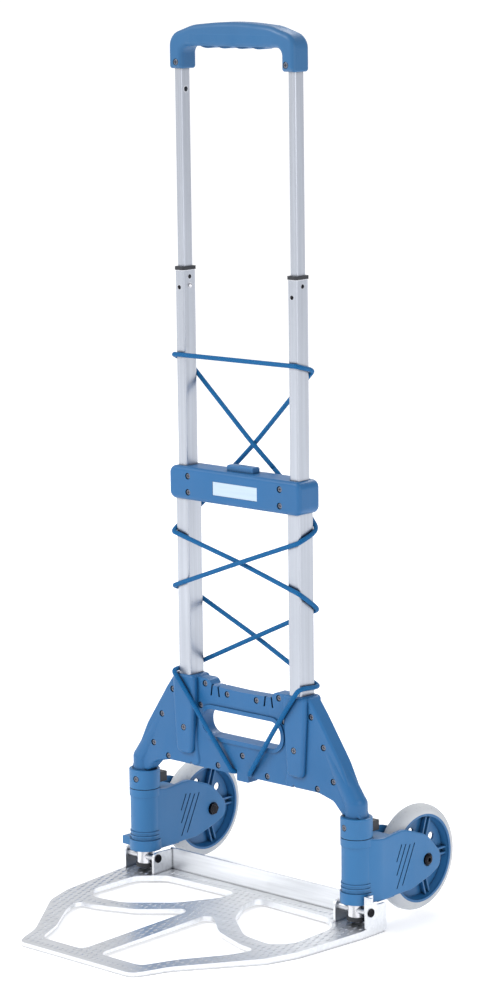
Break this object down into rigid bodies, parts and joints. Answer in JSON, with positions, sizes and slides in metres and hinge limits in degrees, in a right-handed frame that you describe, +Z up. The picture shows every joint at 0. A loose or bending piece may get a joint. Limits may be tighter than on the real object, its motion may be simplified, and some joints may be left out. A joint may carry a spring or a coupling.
{
  "type": "hand truck",
  "caption": "Folding hand truck with an open toe plate, swivelling wheel arms, an A-shaped frame, a telescopic tube handle and an elastic lashing cord.",
  "frame": {"origin": "on the floor, midway between the two legs' axes", "axes": "+Z up, -Y towards the load side and the toe plate, wheels at +Y, +X to the right as seen from the load side"},
  "size_m": [0.396, 0.4515, 1.027],
  "materials": {
    "frame_plastic": "satin moulded plastic",
    "arm_plastic": "satin moulded plastic",
    "rim_plastic": "satin moulded plastic",
    "grip_plastic": "fine grain moulded plastic",
    "grip_insert_plastic": "soft matt plastic",
    "button_plastic": "satin moulded plastic",
    "inner_steel": "plain spring steel",
    "screw_steel": "dark zinc",
    "label": "blank satin plate",
    "tube_aluminium": "satin anodised",
    "leg_steel": "bright plated",
    "plate_aluminium": "bright with raised tread dots",
    "snap_steel": "polished",
    "tyre": "light grey rubber",
    "cord": "woven elastic cord",
    "bolt_steel": "black zinc",
    "black_plastic": "moulded plastic",
    "black_steel": "black"
  },
  "bodies": {
    "chassis": {"button_spring": "inner_steel", "collar_left": "arm_plastic", "collar_right": "arm_plastic", "collar_screws": "screw_steel", "cord_lower_left": "cord", "cord_lower_right": "cord", "cord_top_loop": "cord", "crossbar_front_shell": "frame_plastic", "crossbar_rear_shell": "frame_plastic", "crossbar_screws": "screw_steel", "foot_plug_left": "black_plastic", "foot_plug_right": "black_plastic", "frame_front_shell": "frame_plastic", "frame_rear_shell": "frame_plastic", "frame_screws": "screw_steel", "label_plate": "label", "leg_circlips": "inner_steel", "leg_tube_left": "leg_steel", "leg_tube_right": "leg_steel", "lower_guide_pads": "black_plastic", "outer_tube_left": "tube_aluminium", "outer_tube_right": "tube_aluminium", "stop_block_left": "black_plastic", "stop_block_right": "black_plastic", "thrust_washers": "inner_steel"},
    "middle_stage": {"mid_cap_left": "black_plastic", "mid_cap_right": "black_plastic", "mid_glide_left": "black_plastic", "mid_glide_right": "black_plastic", "mid_tube_left": "tube_aluminium", "mid_tube_right": "tube_aluminium", "stage_rivets": "black_steel", "upper_guide_pads": "black_plastic"},
    "upper_stage": {"grip_body": "grip_plastic", "grip_insert": "grip_insert_plastic", "grip_screws": "screw_steel", "latch_spring": "inner_steel", "upper_glide_left": "black_plastic", "upper_glide_right": "black_plastic", "upper_tube_left": "tube_aluminium", "upper_tube_right": "tube_aluminium"},
    "release_button": {"lock_bar": "inner_steel", "release_button": "button_plastic"},
    "snap_button": {"snap_button": "snap_steel"},
    "toe_plate": {"hinge_pins": "black_steel", "toe_plate": "plate_aluminium"},
    "arm_left": {"axle_bolt_left": "bolt_steel", "axle_nut_left": "bolt_steel", "axle_spacers_left": "black_plastic", "wheel_arm_left": "arm_plastic"},
    "arm_right": {"axle_bolt_right": "bolt_steel", "axle_nut_right": "bolt_steel", "axle_spacers_right": "black_plastic", "wheel_arm_right": "arm_plastic"},
    "wheel_left": {"rim_left": "rim_plastic", "tyre_left": "tyre", "wheel_bearings_left": "black_plastic"},
    "wheel_right": {"rim_right": "rim_plastic", "tyre_right": "tyre", "wheel_bearings_right": "black_plastic"}
  },
  "joints": [
    {"name": "lower_stage_slide", "type": "slide", "parent": "chassis", "child": "middle_stage", "axis": [0, 0, -1], "range_m": [0, 0.2], "deforming": ["cord_top_loop"]},
    {"name": "upper_stage_slide", "type": "slide", "parent": "middle_stage", "child": "upper_stage", "axis": [0, 0, -1], "range_m": [0, 0.225]},
    {"name": "release_button_press", "type": "slide", "parent": "chassis", "child": "release_button", "axis": [0, 0, -1], "range_m": [0, 0.004], "stiffness_N_per_m": 900, "springref_m": -0.002, "deforming": ["button_spring"]},
    {"name": "snap_button_press", "type": "slide", "parent": "middle_stage", "child": "snap_button", "axis": [-1, 0, 0], "range_m": [0, 0.0015], "stiffness_N_per_m": 600, "springref_m": -0.001},
    {"name": "toe_plate_fold", "type": "hinge", "parent": "chassis", "child": "toe_plate", "pos_m": [0, -0.005, 0.028], "axis": [-1, 0, 0], "range_deg": [0, 90]},
    {"name": "arm_right_fold", "type": "hinge", "parent": "chassis", "child": "arm_right", "pos_m": [0.168, 0, 0], "axis": [0, 0, 1], "range_deg": [0, 90]},
    {"name": "arm_left_fold", "type": "hinge", "parent": "chassis", "child": "arm_left", "pos_m": [-0.168, 0, 0], "axis": [0, 0, -1], "range_deg": [0, 90]},
    {"name": "wheel_right_spin", "type": "hinge", "parent": "arm_right", "child": "wheel_right", "pos_m": [0.1704, 0.101, 0.0665], "axis": [1, 0, 0], "continuous": true},
    {"name": "wheel_left_spin", "type": "hinge", "parent": "arm_left", "child": "wheel_left", "pos_m": [-0.1704, 0.101, 0.0665], "axis": [1, 0, 0], "continuous": true}
  ],
  "couplings": [
    {"joint": "arm_right_fold", "follows": "toe_plate_fold", "ratio": 1},
    {"joint": "arm_left_fold", "follows": "toe_plate_fold", "ratio": 1}
  ]
}
